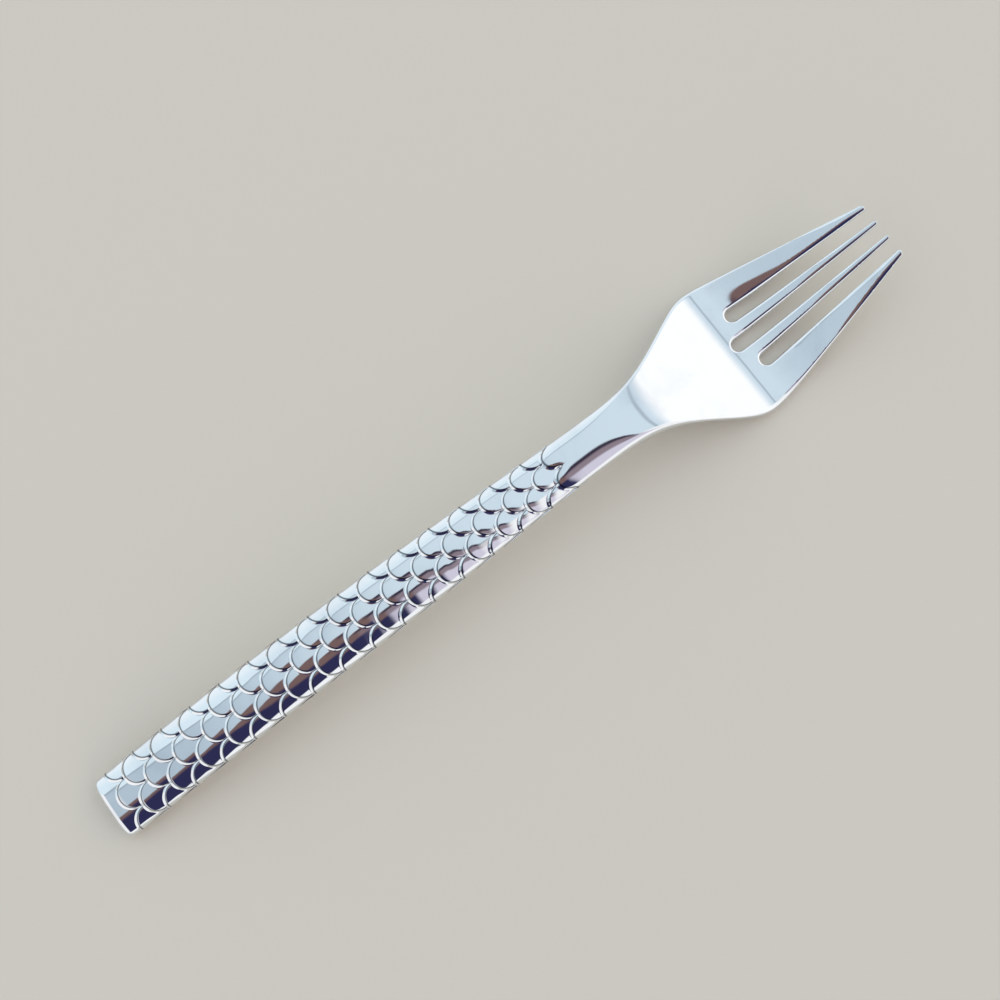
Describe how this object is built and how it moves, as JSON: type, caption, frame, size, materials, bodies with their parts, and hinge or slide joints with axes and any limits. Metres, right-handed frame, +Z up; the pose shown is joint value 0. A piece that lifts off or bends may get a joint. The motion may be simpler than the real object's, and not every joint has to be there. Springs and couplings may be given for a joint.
{
  "type": "fish fork",
  "caption": "Polished steel fish fork with a broad shouldered head, tapering tines and a hollow handle pressed with overlapping fish scales.",
  "frame": {"origin": "on the table, under the middle of the fork's length and width", "axes": "+X along the fork from the handle's end to the tips of the tines, +Y across it, +Z up from the table"},
  "size_m": [0.2, 0.0314, 0.013],
  "materials": {
    "head_steel": "mirror-polished stainless steel",
    "front_steel": "mirror-polished stainless steel, pressed with scales",
    "back_steel": "mirror-polished stainless steel, plain",
    "cement": "set handle cement, hidden inside"
  },
  "bodies": {
    "root": {"fork_head": "head_steel", "handle_front": "front_steel", "handle_back": "back_steel", "handle_cement": "cement"}
  },
  "joints": []
}
